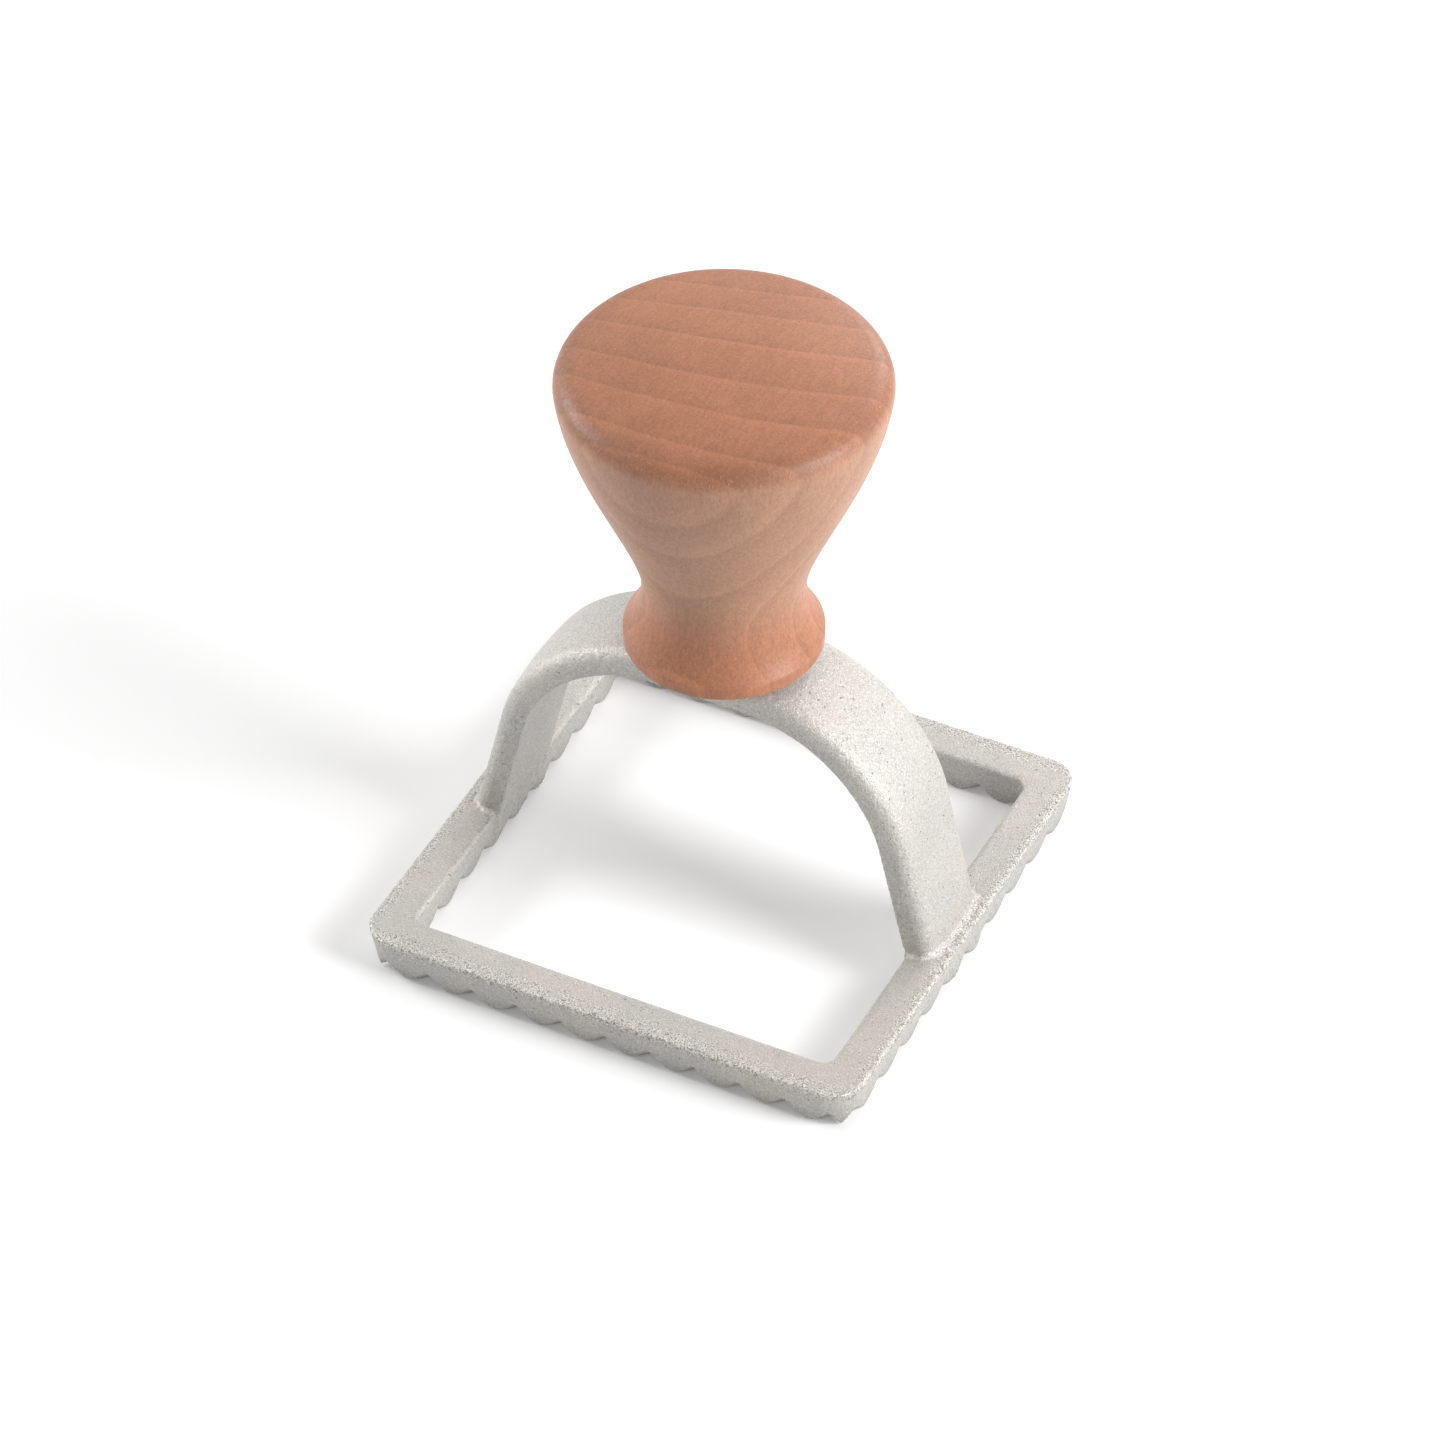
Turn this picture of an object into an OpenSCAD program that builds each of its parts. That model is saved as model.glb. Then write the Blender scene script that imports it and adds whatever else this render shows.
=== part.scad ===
// Ravioli stamp: a square cast frame with a wavy cutting edge, an arch cast in one with it, and a turned wooden knob
// held on the crown of the arch by one countersunk wood screw from below.
// The origin is in the middle of the square, on the plane that the cutting edge rests on. +Z is up.

/* [Frame] */
// Outer side of the square at its top
side = 74; // [60:1:90]
// Height of the frame, from the cutting edge to its flat top
frame_h = 6.8; // [5.5:0.1:9]
// Width of a bar at its top
bar_w = 6; // [5:0.1:8]
// Draft of the bar's walls, in mm of width for each mm of height
draft = 0.14; // [0.02:0.01:0.2]
// Radius of the frame's outer corners at the top
corner_r = 4.5; // [3:0.1:6]
// Radius of the opening's corners at the top
opening_r = 1.6; // [0.6:0.1:2]
// Broken edge round the outside of the top
edge_break = 0.5; // [0.2:0.1:0.8]

/* [Cutting edge] */
// Outer lobes on each side of the square, corners left out
lobes = 10; // [8:2:12]
// Pitch of the lobes as a share of the side
pitch_share = 0.0904; // [0.086:0.0002:0.094]
// How far the edge waves to each side of its middle line
wave = 1.2; // [0.6:0.1:1.5]
// Middle line of the outer flank, in from the outer side at the top
outer_line = 2.7; // [2.3:0.1:3]
// Distance between the outer and the inner middle lines
land = 0.9; // [0.6:0.1:1.2]
// Run of the flanks, in mm sideways for each mm up
flank = 1.1; // [0.9:0.05:1.4]
// Roundness of the lobes, from pointed to full
lobe_power = 1.1; // [0.8:0.1:1.6]

/* [Arch] */
// Rise of the arch's inner face above the frame's top
arch_rise = 33.9; // [28:0.1:40]
// Width of the arch's band
arch_w = 16; // [12:0.5:20]
// Thickness of the band at its middle
arch_t = 4.2; // [3.5:0.1:5]
// Radius of the band's round shoulders, along its outer face
band_r = 2.2; // [1.6:0.1:2.6]
// Height of the band's crown above those shoulders
band_crown = 0.5; // [0.2:0.1:0.8]
// Lean of the legs from upright, in degrees
leg_lean = 12.9; // [8:0.1:16]
// Inner radius of the shoulders
shoulder_r = 21.5; // [16:0.5:23]
// How far the legs' inner faces stand proud of the bars
leg_proud = 0.4; // [0.2:0.1:1]
// Height of the round seat above the crown
seat_h = 1.1; // [0.8:0.1:1.6]
// Radius of the round seat
seat_r = 7.5; // [6.5:0.5:8]

/* [Knob] */
// Diameter of the knob at its widest, near the top
knob_d = 44.6; // [38:0.2:50]
// Diameter of the neck
neck_d = 22; // [18:0.5:26]
// Diameter of the base
base_d = 27; // [24:0.5:30]
// Height of the straight band at the foot of the knob
band_h = 1.8; // [1:0.1:3]
// Height of the neck above the seat
neck_h = 9.3; // [7:0.1:12]
// Height of the widest line above the seat
widest_h = 43; // [38:0.5:48]
// Flare of the side where it meets the rim, in mm outward for each mm up
rim_flare = 0.12; // [0.05:0.01:0.2]
// Width of the rounded rim, measured inward
rim_in = 4; // [2:0.1:6]
// Height of the rounded rim
rim_h = 3.2; // [2:0.1:4]
// Slope of the domed top beside the rim
dome_slope = 0.24; // [0.12:0.01:0.3]

/* [Screw] */
// Diameter of the screw
screw_d = 4; // [3:0.1:5]
// Diameter of the countersunk head
head_d = 8; // [7:0.1:9]
// Height of the head's cone
head_h = 2.2; // [1.8:0.1:2.6]
// Length of the screw with its head
screw_len = 25; // [20:1:34]

/* [Hidden] */
// Half of the outer side, and half of the opening, at the top
half = side / 2;
half_in = half - bar_w;
pitch = side * pitch_share;
// Angle of the flanks from upright
flank_tilt = atan(flank);
// Points of the wave for each pitch
steps = 8;
// Last outer lobe before a corner, and the corner's own lobe with its distance in from the corner
corner_in = 0.6;
last_lobe = (lobes - 1) / 2 * pitch;
corner_lobe = half - corner_in;
// Larger than the whole part, and how far a cut runs past what it cuts
far = 2 * side;
past = 1;
// Heights
arch_in_z = frame_h + arch_rise;
crown_z = arch_in_z + arch_t;
seat_z = crown_z + seat_h;
// Inner face of a leg at the frame's top, and the centre of the shoulder's arc
foot_x = half_in - leg_proud;
shoulder_z = arch_in_z - shoulder_r;
leg_h = shoulder_z + shoulder_r * sin(leg_lean) - frame_h;
shoulder_x = foot_x - leg_h * tan(leg_lean) - shoulder_r * cos(leg_lean);
// How deep the seat reaches into the crown
seat_root = 0.8 * arch_t;
// The band's straight stretches are this much slimmer all round than its shoulders, and reach this far into them
joint_step = 0.05;
joint_lap = 0.5;
// Knob's bore, as deep as the screw's tip and a little more
bore_spare = 1;
// Gap round the screw in the crown, and between its head and the countersink
screw_clear = 0.1;
// Facets of the round surfaces
round_fn = 96;
small_fn = 48;

// Share of the wave's swing at a place along a side: 1 on an outer lobe, 0 in the flute between two
function outer_share(x) =
    abs(x) <= last_lobe
        ? pow(abs(sin(180 * x / pitch)), lobe_power)
        : pow(abs(cos(180 * (abs(x) - last_lobe) / (corner_lobe - last_lobe))), lobe_power);
// The same for the inner lobes, which stand opposite the outer flutes
function inner_share(x) = pow(abs(cos(180 * x / pitch)), lobe_power);
// Distance of the flanks from the middle of the square, at the resting plane
function outer_edge(x) = half - outer_line + wave * (2 * outer_share(x) - 1);
function inner_edge(x) = half - outer_line - land - wave * (2 * inner_share(x) - 1);
// Places along a side at which the wave is worked out
reach = ceil(half / pitch) * steps;
function stations() = [for (i = [-reach : reach]) i * pitch / steps];
// A point on a curve with four control points
function bend(p, t) = pow(1 - t, 3) * p[0] + 3 * t * pow(1 - t, 2) * p[1] + 3 * t * t * (1 - t) * p[2] + pow(t, 3) * p[3];

// Square block with round corners whose half side goes from half0 at z0 to half1 at z1, and each corner's radius with it
module drafted_block(half0, half1, r1, z0, z1) {
    centre = half1 - r1;
    for (a = [0, 90])
        rotate([0, 0, a])
            translate([-centre, 0, 0])
                rotate([90, 0, 90])
                    linear_extrude(height = 2 * centre)
                        polygon([[-half0, z0], [half0, z0], [half1, z1], [-half1, z1]]);
    for (x = [-1, 1], y = [-1, 1])
        translate([x * centre, y * centre, z0])
            cylinder(h = z1 - z0, r1 = half0 - centre, r2 = r1, $fn = small_fn);
}

// Everything on the inner side of one wavy flank. The flank leans out going up with side_sign 1, and in with -1.
module flank_limit(edge, side_sign) {
    rotate([-side_sign * flank_tilt, 0, 0])
        linear_extrude(height = 2 * far, center = true)
            polygon(concat(
                [for (i = [0 : len(edge) - 1]) [edge[i][0], edge[i][1] * cos(flank_tilt)]],
                [[edge[len(edge) - 1][0], -far], [edge[0][0], -far]]));
}

// What the outer flanks leave of the frame, all round the square
module inside_outer_flanks() {
    edge = [for (x = stations()) [x, outer_edge(x)]];
    intersection_for(a = [0, 90, 180, 270])
        rotate([0, 0, a])
            flank_limit(edge, 1);
}

// The hollow between the inner flanks, cut off above the height at which it leaves the bars
module inner_hollow() {
    edge = [for (x = stations()) [x, inner_edge(x)]];
    intersection() {
        intersection_for(a = [0, 90, 180, 270])
            rotate([0, 0, a])
                flank_limit(edge, -1);
        translate([-half, -half, -past])
            cube([side, side, frame_h]);
    }
}

// The frame before its edge is cut: outer block with its broken top edge, and the drafted opening
module outer_block() {
    shoulder = frame_h - edge_break;
    drafted_block(half - draft * shoulder, half, corner_r, 0, shoulder);
    drafted_block(half, half - edge_break, corner_r - edge_break, shoulder, frame_h);
}

module opening_block() {
    drafted_block(half_in + draft * (frame_h + past), half_in, opening_r, -past, frame_h + past);
}

// The band's section, smaller all round by the inset: flat inner face, upright sides, round shoulders and a low crown
function band_section(inset) = let (
    half_w = arch_w / 2 - inset,
    mid_t = arch_t - inset - band_crown - band_r,
    mid_w = half_w - band_r)
    concat(
        [[inset, -half_w]],
        [for (a = [0 : 15 : 90]) [mid_t + band_r * sin(a), -mid_w - band_r * cos(a)]],
        [for (i = [-3 : 3]) [mid_t + band_r + band_crown * (1 - pow(i / 4, 2)), mid_w * i / 4]],
        [for (a = [90 : -15 : 0]) [mid_t + band_r * sin(a), mid_w + band_r * cos(a)]],
        [[inset, half_w]]);

// One leg of the arch, from the cutting edge to its shoulder, on the +X side
module leg() {
    root = frame_h / cos(leg_lean);
    translate([foot_x, 0, frame_h])
        rotate([0, -leg_lean, 0])
            translate([0, 0, -root])
                linear_extrude(height = root + leg_h / cos(leg_lean) + joint_lap)
                    polygon(band_section(joint_step));
}

// Shoulder between the leg and the crown, on the +X side
module shoulder() {
    translate([shoulder_x, 0, shoulder_z])
        rotate([90, 0, 0])
            rotate([0, 0, leg_lean])
                rotate_extrude(angle = 90 - leg_lean, $fn = round_fn)
                    polygon([for (p = band_section(0)) [shoulder_r + p[0], -p[1]]]);
}

module crown() {
    reach_x = shoulder_x + joint_lap;
    translate([-reach_x, 0, arch_in_z])
        rotate([0, 90, 0])
            linear_extrude(height = 2 * reach_x)
                polygon([for (p = band_section(joint_step)) [-p[0], p[1]]]);
}

module arch() {
    for (side_x = [0, 1])
        mirror([side_x, 0, 0]) {
            leg();
            shoulder();
        }
    crown();
    // Round seat that the knob stands on
    translate([0, 0, crown_z - seat_root])
        cylinder(h = seat_root + seat_h, r = seat_r, $fn = round_fn);
}

// Frame and arch, one casting
module casting() {
    color("#c9c6c0")
        difference() {
            union() {
                intersection() {
                    union() {
                        difference() {
                            outer_block();
                            opening_block();
                        }
                        intersection() {
                            outer_block();
                            arch();
                        }
                    }
                    inside_outer_flanks();
                }
                intersection() {
                    arch();
                    translate([-half, -half, frame_h - 0.001])
                        cube([side, side, seat_z]);
                }
            }
            inner_hollow();
            screw_hole();
        }
}

// Countersunk clearance hole through the crown
module screw_hole() {
    hole_d = screw_d + 2 * screw_clear;
    translate([0, 0, arch_in_z - past])
        cylinder(h = arch_t + seat_h + 2 * past, d = hole_d, $fn = small_fn);
    translate([0, 0, arch_in_z - 0.01])
        cylinder(h = head_h + screw_clear + 0.01, d1 = head_d + 2 * screw_clear, d2 = hole_d, $fn = small_fn);
}

// How firmly the side's curve leaves the neck and meets the rim
flare_pull_low = 7.3;
flare_pull_high = 12.2;
// Where the cove's curve is drawn to: in from the band, and up from it near the band and near the neck
cove_in = 0.9;
cove_low = 1.4;
cove_high = 3.4;
// Broken edge at the foot of the knob
base_edge = 0.3;

// Turned knob: straight band, cove, neck, flaring side, rounded rim and low dome
function knob_outline() = let (
    base = base_d / 2,
    neck = neck_d / 2,
    wide = knob_d / 2,
    cove = [[base, band_h], [base - cove_in, band_h + cove_low], [neck, band_h + cove_high], [neck, neck_h]],
    // The rim is part of an ellipse that starts and ends along the side and the dome
    low = -atan(rim_flare * rim_h / rim_in),
    high = atan(rim_h / (rim_in * dome_slope)),
    rim = function (a) [wide - rim_in * (1 - cos(a)), widest_h + rim_h * sin(a)],
    side_end = rim(low),
    flare = [[neck, neck_h], [neck, neck_h + flare_pull_low], side_end - flare_pull_high * [rim_flare, 1], side_end],
    dome_edge = rim(high))
    concat(
        [[0, 0], [base - base_edge, 0], [base, base_edge]],
        [for (i = [0 : 12]) bend(cove, i / 12)],
        [for (i = [1 : 24]) bend(flare, i / 24)],
        [for (i = [1 : 10]) rim(low + (high - low) * i / 10)],
        [for (i = [7 : -1 : 0]) dome_edge + [dome_edge[0] * (i / 8 - 1),
            dome_slope * dome_edge[0] / 2 * (1 - pow(i / 8, 2))]]);

module knob() {
    bore_top = arch_in_z + screw_len + bore_spare - seat_z;
    color("#c08a68")
        translate([0, 0, seat_z])
            difference() {
                rotate_extrude($fn = round_fn)
                    polygon(knob_outline());
                translate([0, 0, -past])
                    cylinder(h = bore_top + past, d = screw_d, $fn = small_fn);
            }
}

// Countersunk wood screw with a cross recess
module knob_screw() {
    tip_h = screw_d;
    tip_d = 0.15 * screw_d;
    recess_w = 0.22 * screw_d;
    recess_l = 0.48 * head_d;
    recess_h = 0.6 * head_h;
    color("#8e8c88")
        translate([0, 0, arch_in_z + screw_clear])
            difference() {
                union() {
                    cylinder(h = head_h, d1 = head_d, d2 = screw_d, $fn = small_fn);
                    cylinder(h = screw_len - tip_h, d = screw_d, $fn = small_fn);
                    translate([0, 0, screw_len - tip_h])
                        cylinder(h = tip_h, d1 = screw_d, d2 = tip_d, $fn = small_fn);
                }
                for (a = [0, 90])
                    rotate([0, 0, a])
                        translate([-recess_l / 2, -recess_w / 2, -past])
                            cube([recess_l, recess_w, recess_h + past]);
            }
}

casting();
knob();
knob_screw();
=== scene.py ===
"""Ravioli stamp: cast aluminium frame with a wavy edge and an arch, turned wooden knob, wood screw."""

import math

import bmesh
import bpy
from bpy.props import FloatProperty, FloatVectorProperty, IntProperty, PointerProperty
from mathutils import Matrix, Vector


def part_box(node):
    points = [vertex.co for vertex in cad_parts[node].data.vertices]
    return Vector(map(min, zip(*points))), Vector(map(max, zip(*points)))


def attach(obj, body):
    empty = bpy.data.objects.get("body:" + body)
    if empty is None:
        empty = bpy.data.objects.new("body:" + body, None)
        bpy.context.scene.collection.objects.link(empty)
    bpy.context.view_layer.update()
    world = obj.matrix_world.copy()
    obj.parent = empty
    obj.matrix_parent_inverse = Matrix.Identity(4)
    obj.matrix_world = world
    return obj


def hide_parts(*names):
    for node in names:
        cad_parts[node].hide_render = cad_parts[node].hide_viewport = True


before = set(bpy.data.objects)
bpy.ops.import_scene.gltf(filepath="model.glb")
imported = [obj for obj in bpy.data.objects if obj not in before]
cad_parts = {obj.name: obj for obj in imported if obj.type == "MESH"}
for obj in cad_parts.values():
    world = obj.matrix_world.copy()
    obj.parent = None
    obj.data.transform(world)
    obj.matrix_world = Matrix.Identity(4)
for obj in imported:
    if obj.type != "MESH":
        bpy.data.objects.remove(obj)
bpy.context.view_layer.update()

bl_info = {
    "name": "Ravioli stamp",
    "version": (1, 0, 0),
    "blender": (4, 5, 0),
    "location": "3D View > Sidebar > Ravioli stamp",
    "description": "Builds a ravioli stamp round its packed CAD part",
    "category": "Object",
}

BODY = "root"
CASTING = "casting"
KNOB = "knob"
SCREW = "knob_screw"

# Driving sizes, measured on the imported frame
CASTING_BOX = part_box(CASTING)
KNOB_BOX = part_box(KNOB)
SCREW_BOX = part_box(SCREW)
SIDE = CASTING_BOX[1].x - CASTING_BOX[0].x
SEAT_Z = CASTING_BOX[1].z
KNOB_RADIUS = KNOB_BOX[1].x
KNOB_HEIGHT = KNOB_BOX[1].z - KNOB_BOX[0].z
SCREW_Z = SCREW_BOX[0].z
SCREW_LENGTH = SCREW_BOX[1].z - SCREW_BOX[0].z
HEAD_RADIUS = SCREW_BOX[1].x
# A millimetre of the stamp whose side is 74, so that everything keeps its share of the side
MM = SIDE / 74
SCREW_RADIUS = 2 * MM

# The casting's skin lies this far inside its true size, and swells no further than that
SKIN_DEPTH = 0.05 * MM
# Gap between the cutting edge and the table
REST_GAP = 0.03 * MM
# The seat's solid reaches this far down into the crown
SEAT_SINK = 1 * MM
# Empty cells of the casting's grid on all sides
GRID_SPARE = 3
# Triangles of a piece, under the most that its STL file holds unthinned
TRIANGLES_MOST = 196000
# Noise of the cast skin: waves to a millimetre, detail, roughness and offset
SKIN_NOISE = {
    "lumps": (0.16, 3),
    "grains": (1.6, 2, 0.5, (3, 5, 7)),
    "beads": (0.7, 2, 0.5, (1, 8, 2)),
    "pitting": (1.1, 3, 0.5, (6, 2, 9)),
}
# The beads fade out over these distances from the legs' feet, and the pitting from the outer top edge
BEAD_FADE = (0.3 * MM, 1.5 * MM)
PITTING_FADE = (0.4 * MM, 1.7 * MM)

# Steps of the knob's outline, and the turns at which the edge of its foot has a point
FOOT_STEPS = 8
FOOT_EDGE_TURNS = (0.4, 0.8, 1.2)
BAND_STEPS = 4
COVE_STEPS = 32
FLARE_STEPS = 80
RIM_STEPS = 20
DOME_STEPS = 40
BORE_STEPS = 6
# The bore goes on past the screw's tip
BORE_SPARE = 1 * MM

# Faces round the screw and along it, and the share of them that the head's flat takes
SCREW_AROUND = 48
SCREW_ALONG = 360
HEAD_FLAT = 0.05
# How much narrower the thread's ridge is than its pitch
RIDGE_SHARPNESS = 1.6
# Points of the screw's seam closer than this become one
WELD_REACH = 0.005 * MM

# Noise of the metal: waves to a millimetre, detail, roughness and offset
METAL_NOISE = {
    "fine": (4.6, 2, 0.6),
    "coarse": (1.4, 2, 0.5, (4, 1, 6)),
    "cloud": (0.09, 2, 0.5, (2, 8, 3)),
    "painted_glint_noise": (3.4, 1, 0.5, (8, 3, 5)),
    "pit": (1.9, 1, 0.5, (5, 9, 1)),
}
# Speckled band along the outer top edge: its width fades in from the sides, and its height in and out
SPECKLE_START = (SIDE / 2 - 2.8 * MM, SIDE / 2 - 1.6 * MM)
SPECKLE_NARROWER = 0.7 * MM
SPECKLE_BOTTOM = (5.0 * MM, 6.2 * MM)
SPECKLE_TOP = (8.2 * MM, 9.0 * MM)
SPECKLE_PATCHES = (-0.2, 0.06)
# Levels of their noise at which the painted glints, which are painted highlights, and the pits begin and
# are full, and how far the band raises that noise
PAINTED_GLINT_LEVELS = (0.16, 0.21)
PAINTED_GLINT_RAISE = 0.13
PIT_LEVELS = (0.20, 0.26)
PIT_RAISE = 0.1
# Painted shade: the foot of the frame, under this height, is painted a little darker, as the shade near the
# table
PAINTED_SHADE_TOP = 4.5 * MM
# Each pattern's part in the metal's tone, roughness and relief, the last in millimetres. In the tone the
# glints are painted highlights, and the low part is a painted shade at the foot
METAL_TONE = {
    "fine": 1.2, "speckle": 3.6, "coarse": 0.25, "cloud": 0.2, "painted_glint": 0.5, "pit": -0.6,
    "band": -0.06, "low": -0.2
}
METAL_ROUGH = {"fine": -0.5, "painted_glint": -0.2}
METAL_ROUGH_LIMITS = (0.22, 0.75)
METAL_RELIEF = {"fine": 0.12, "coarse": 0.1, "pit": -0.05}
METAL_SHINE = 0.4
METAL_SPREAD = 0.5
# Heights over which the flat tops of the bars turn warmer and back again, a painted warm reflection of the
# wooden knob, and the parts in that warmth
WARM_REFLECTION_BOTTOM = (5.5 * MM, 7.0 * MM)
WARM_REFLECTION_TOP = (7.5 * MM, 12.0 * MM)
METAL_WARMTH = {"cloud": 2.0, "warm_top_reflection": 0.5}
COOL = Vector((0.98, 1.0, 1.02))
WARM = Vector((1.01, 0.985, 0.95))

# Ends of the growth rings on the knob's top, towards the front from its middle, in the stamp's millimetres
RING_ENDS = (-20.4, -14, -7.6, -1.1, 6.0, 11.6, 17.4, 20.5)
# Height from which the rings' bends count, and the drop and the half width over which they are given
RING_TOP = 88
RING_DROP = 50
RING_HALF = 20
# Bends of the rings in millimetres: down the side, across the knob and across it squared
RING_LEAN = {"plain": 8.9, "low": 2.1, "near": -8.3}
RING_FAN = {"plain": 3.8, "low": 3.3, "near": -3.9}
RING_CURVE = {"plain": 3.45, "low": -1.1}
# Tone across a ring: distance from its end, and tone from late wood at 0 to the palest early wood at 1
RING_TONES = ((-1.9, 0.50), (-0.2, 0.36), (0.0, 0.74), (0.9, 0.58))
# Heights over which the top and the foot turn to end grain, and the dark torn band round the rim
TOP_GRAIN = (88.6, 91.2)
FOOT_GRAIN = (50, 62)
RIM_MIDDLE = 90.8
RIM_FADE = (0.2, 1.7)
TORN_LEVELS = (0.13, 0.20)
# Noise of the wood: waves to a millimetre, detail, roughness, offset and stretch
WOOD_NOISE = {
    "pores": (2.6, 3, 0.7, (0, 0, 0), (1, 1, 0.35)),
    "speckle": (5.0, 2, 0.6, (7, 3, 8), (1, 1, 0.6)),
    "blotch": (0.09, 3, 0.5, (9, 4, 2), (1, 1, 0.5)),
    "streak": (0.8, 3, 0.5, (5, 5, 1), (1, 1, 0.06)),
    "rays": (2.4, 2, 0.5, (2, 6, 6), (1, 0.1, 1)),
    "torn": (1.5, 2, 0.5, (8, 1, 4), (1, 1, 0.5)),
    "waver": (0.07, 2, 0.5, (1, 2, 3)),
    "ripple": (0.5, 2, 0.5, (6, 2, 1), (1, 1, 0.3)),
}
# How far the rings waver and ripple, in millimetres
RING_UNEVENNESS = {"waver": 1.1, "ripple": 0.25}
# Each pattern's part in the wood's tone, roughness and relief, the last in millimetres
WOOD_TONE = {
    "rings": 0.8, "end_rings": 0.2, "blotch": 0.6, "streak": 0.4, "pores": 1.1, "speckle": 0.9,
    "end_rays": 0.5, "rim": -0.3, "torn": 0.5
}
WOOD_ROUGH = {"pores": -0.3, "streak": 0.2}
WOOD_ROUGH_LIMITS = (0.3, 0.8)
WOOD_RELIEF = {"pores": 0.03, "speckle": 0.02, "streak": 0.03, "torn": 0.06}
WOOD_SPREAD = 0.3
WOOD_GLOSS = 0.4
WOOD_COAT = 0.12
WOOD_COAT_ROUGHNESS = 0.3

# Turning marks of the screw in radians to a metre, and each pattern's part in the steel's finish
LATHE_MARKS = 9 / MM
STEEL_NOISE = {"stain": (0.8, 3)}
STEEL_TONE = {"stain": 1.5, "marks": 0.1}
STEEL_ROUGH = {"stain": 0.3}
STEEL_ROUGH_MIDDLE = 0.35
STEEL_ROUGH_LIMITS = (0.2, 0.6)
STEEL_RELIEF = {"marks": 0.008}
STEEL_DARK = 0.8
STEEL_PALE = 1.15

# Half width of the table in sides of the stamp, its faint grain to a millimetre, and that grain's darkest
TABLE_REACH = 40
TABLE_NOISE = {"grain": (0.3, 2)}
TABLE_DARK = 0.995
# How much of the table's white is its own glow, and how much is lit
SEEN_GLOW = 0.16
SEEN_SHARE = 0.90
# Light of the room from all round and from each side
SKY_ROUND = 0.02
SKY_SIDES = {"left": 0.38, "back": 0.55, "front": 0.22}
# Lamps: the way from the object, the distance and width in sides of the stamp, and the power in watts
LAMPS = (
    ("key_lamp", (0.74, -0.05, 0.66), 14, 5, 2.8),
    ("right_lamp", (0.90, 0.05, 0.42), 14, 8, 9.2),
    ("left_lamp", (-0.92, -0.06, 0.42), 14, 8, 7.0),
    ("back_lamp", (0.1, 1.0, 0.4), 14, 8, 3.8),
)
# The photograph's camera, fitted to the stamp's corners and lobes. Lens and shift are in its pixels
AIM = Vector((0, 0, 30.389 * MM))
LENS_FOCAL = 8187.3
PICTURE = 1440
SENSOR = 36.0
CAMERA_ELEVATION = math.radians(41.868)
CAMERA_AZIMUTH = math.radians(26.48)
CAMERA_DISTANCE = 1101.25 * MM
CAMERA_ASIDE = 0.582 * MM
CAMERA_SHIFT = (-8.456 / PICTURE, 0.745 / PICTURE)
CLIP_START = 0.05
CLIP_END = 50


def length(name, description, default):
    """A size that the sidebar shows in the scene's unit of length."""
    return FloatProperty(
        name=name, description=description, default=default, min=0, unit="LENGTH", precision=5
    )


def share(name, description, default, top=1.0):
    """A plain number between nothing and top."""
    return FloatProperty(name=name, description=description, default=default, min=0, max=top)


def count(name, description, default, least):
    """A whole number of at least the least."""
    return IntProperty(name=name, description=description, default=default, min=least)


def angle(name, description, default):
    """An angle that the sidebar shows in degrees."""
    return FloatProperty(name=name, description=description, default=default, subtype="ANGLE")


def colour(name, description, default):
    """A colour, in linear light."""
    return FloatVectorProperty(
        name=name, description=description, default=default, subtype="COLOR", size=3, min=0, max=1
    )


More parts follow.
